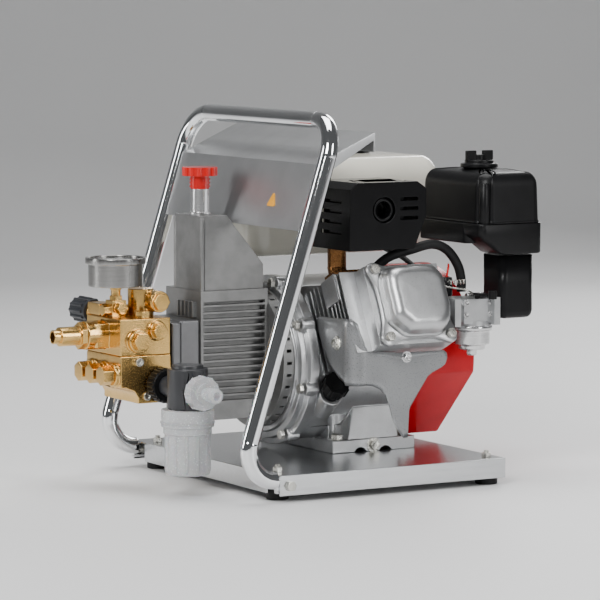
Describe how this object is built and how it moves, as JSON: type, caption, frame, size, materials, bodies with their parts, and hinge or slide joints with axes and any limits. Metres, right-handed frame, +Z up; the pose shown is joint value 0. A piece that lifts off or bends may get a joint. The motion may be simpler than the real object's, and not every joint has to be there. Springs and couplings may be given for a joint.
{
  "type": "pressure washer",
  "caption": "Petrol-engine pressure washer: a finned gearbox and brass triplex pump on an inclined engine, bolted to a sheet base with a leaning tube hoop.",
  "frame": {"origin": "on the ground, under the middle of the whole machine", "axes": "+X along the crankshaft from the pump to the recoil starter, -Y the valve cover side, +Z up"},
  "size_m": [0.546, 0.371, 0.434],
  "materials": {
    "plate_steel": "satin folded sheet",
    "chrome_tube": "polished tube",
    "hood_steel": "satin sheet",
    "zinc": "zinc-plated fasteners",
    "cast_gear": "cast, bead-blasted",
    "cast_engine": "cast",
    "turned_steel": "turned",
    "brass": "forged and machined",
    "red_plastic": "gloss",
    "red_paint": "gloss enamel",
    "rubber": "matt",
    "black_plastic": "fine texture",
    "black_paint": "satin enamel",
    "ceramic": "polished ceramic",
    "milky_plastic": "translucent polypropylene",
    "mesh_steel": "woven",
    "gauge_steel": "pressed stainless steel",
    "lens": "clear",
    "needle_black": "matt",
    "iron": "machined",
    "exhaust_bronze": "heat-stained steel",
    "grey_paint": "satin enamel",
    "cream_tank": "gloss enamel",
    "dark_plastic": "ribbed grip"
  },
  "bodies": {
    "machine": {"base_plate": "plate_steel", "frame_hoop": "chrome_tube", "rubber_feet": "rubber", "base_bolts": "zinc", "hood": "hood_steel", "frame_bolts": "zinc", "gearbox_housing": "cast_gear", "adapter_flange": "cast_gear", "oil_filler_pipe": "turned_steel", "pump_flange": "cast_engine", "seal_rings": "rubber", "pump_manifold": "brass", "valve_block": "brass", "pressure_plugs": "brass", "manifold_screws": "zinc", "unloader_valve": "brass", "outlet_nipple": "brass", "gauge_stem": "brass", "gauge_case": "gauge_steel", "gauge_lens": "lens", "strainer_head": "black_plastic", "strainer_mesh": "mesh_steel", "crankcase": "cast_engine", "side_cover": "cast_engine", "cylinder_barrel": "cast_engine", "cylinder_head": "cast_engine", "valve_cover": "cast_engine", "head_fasteners": "zinc", "spark_plug": "black_plastic", "exhaust_pipe": "exhaust_bronze", "muffler": "black_paint", "muffler_guard": "black_paint", "deflector": "grey_paint", "carburettor": "cast_engine", "float_bowl": "turned_steel", "intake_duct": "black_plastic", "breather_hose": "rubber", "air_cleaner_base": "black_plastic", "air_cleaner_cover": "black_plastic", "fuel_tank": "cream_tank", "fan_shroud": "red_paint", "recoil_starter": "red_paint"},
    "crank": {"crankshaft": "iron", "flywheel": "iron", "pinion_gear": "iron"},
    "pump_shaft": {"pump_gear": "iron"},
    "plunger_a": {"plunger_1": "ceramic"},
    "plunger_b": {"plunger_2": "ceramic"},
    "plunger_c": {"plunger_3": "ceramic"},
    "regulator": {"regulator_knob": "dark_plastic"},
    "needle": {"gauge_needle": "needle_black"},
    "gearbox_cap": {"oil_cap": "red_plastic"},
    "tank_cap": {"fuel_cap": "black_plastic"},
    "cleaner_nut": {"wing_nut": "black_plastic"},
    "choke": {"choke_lever": "black_plastic"},
    "engine_oil_plug": {"oil_filler_plug": "black_plastic"},
    "bowl": {"strainer_bowl": "milky_plastic"},
    "hose_nut": {"hose_barb": "milky_plastic"},
    "swivel_nut": {"inlet_nut": "black_plastic"},
    "starter_grip": {"recoil_handle": "black_plastic"}
  },
  "joints": [
    {"name": "crank_spin", "type": "hinge", "parent": "machine", "child": "crank", "pos_m": [0.1, 0.028, 0.136], "axis": [1, 0, 0], "continuous": true},
    {"name": "pump_spin", "type": "hinge", "parent": "machine", "child": "pump_shaft", "pos_m": [-0.06, 0.026, 0.168], "axis": [1, 0, 0], "continuous": true},
    {"name": "plunger_a_stroke", "type": "slide", "parent": "machine", "child": "plunger_a", "axis": [-1, 0, 0], "range_m": [0, 0.01]},
    {"name": "plunger_b_stroke", "type": "slide", "parent": "machine", "child": "plunger_b", "axis": [-1, 0, 0], "range_m": [0, 0.01]},
    {"name": "plunger_c_stroke", "type": "slide", "parent": "machine", "child": "plunger_c", "axis": [-1, 0, 0], "range_m": [0, 0.01]},
    {"name": "regulator_turn", "type": "hinge", "parent": "machine", "child": "regulator", "pos_m": [-0.194, 0.093, 0.199], "axis": [0, 1, 0], "range_deg": [0, 720]},
    {"name": "gauge_needle_turn", "type": "hinge", "parent": "machine", "child": "needle", "pos_m": [-0.19, 0.026, 0.254], "axis": [0, 0, -1], "range_deg": [0, 270], "stiffness_Nm_per_rad": 0.0002},
    {"name": "gearbox_cap_lift", "type": "slide", "parent": "machine", "child": "gearbox_cap", "axis": [0, 0, 1], "range_m": [0, 0.035]},
    {"name": "tank_cap_turn", "type": "hinge", "parent": "machine", "child": "tank_cap", "pos_m": [0.17, 0.11, 0.38], "axis": [0, 0, 1], "range_deg": [0, 100]},
    {"name": "cleaner_nut_turn", "type": "hinge", "parent": "machine", "child": "cleaner_nut", "pos_m": [0.228, -0.092, 0.368], "axis": [0, 0, 1], "range_deg": [0, 720]},
    {"name": "choke_swing", "type": "hinge", "parent": "machine", "child": "choke", "pos_m": [0.2, -0.133, 0.215], "axis": [0, 0, -1], "range_deg": [0, 40]},
    {"name": "engine_oil_plug_turn", "type": "hinge", "parent": "machine", "child": "engine_oil_plug", "pos_m": [0.04, -0.07464, 0.10971], "axis": [0, -0.766, 0.6428], "range_deg": [0, 720]},
    {"name": "bowl_turn", "type": "hinge", "parent": "machine", "child": "bowl", "pos_m": [-0.156, -0.084, 0.06], "axis": [0, 0, 1], "range_deg": [0, 540]},
    {"name": "hose_nut_turn", "type": "hinge", "parent": "machine", "child": "hose_nut", "pos_m": [-0.156, -0.12, 0.121], "axis": [0, 1, 0], "range_deg": [0, 360]},
    {"name": "swivel_nut_turn", "type": "hinge", "parent": "machine", "child": "swivel_nut", "pos_m": [-0.156, -0.03, 0.121], "axis": [0, 1, 0], "range_deg": [0, 360]},
    {"name": "starter_pull", "type": "slide", "parent": "machine", "child": "starter_grip", "axis": [0, 0, 1], "range_m": [0, 0.02], "stiffness_N_per_m": 300}
  ],
  "couplings": [
    {"joint": "pump_spin", "follows": "crank_spin", "ratio": -0.66667}
  ]
}
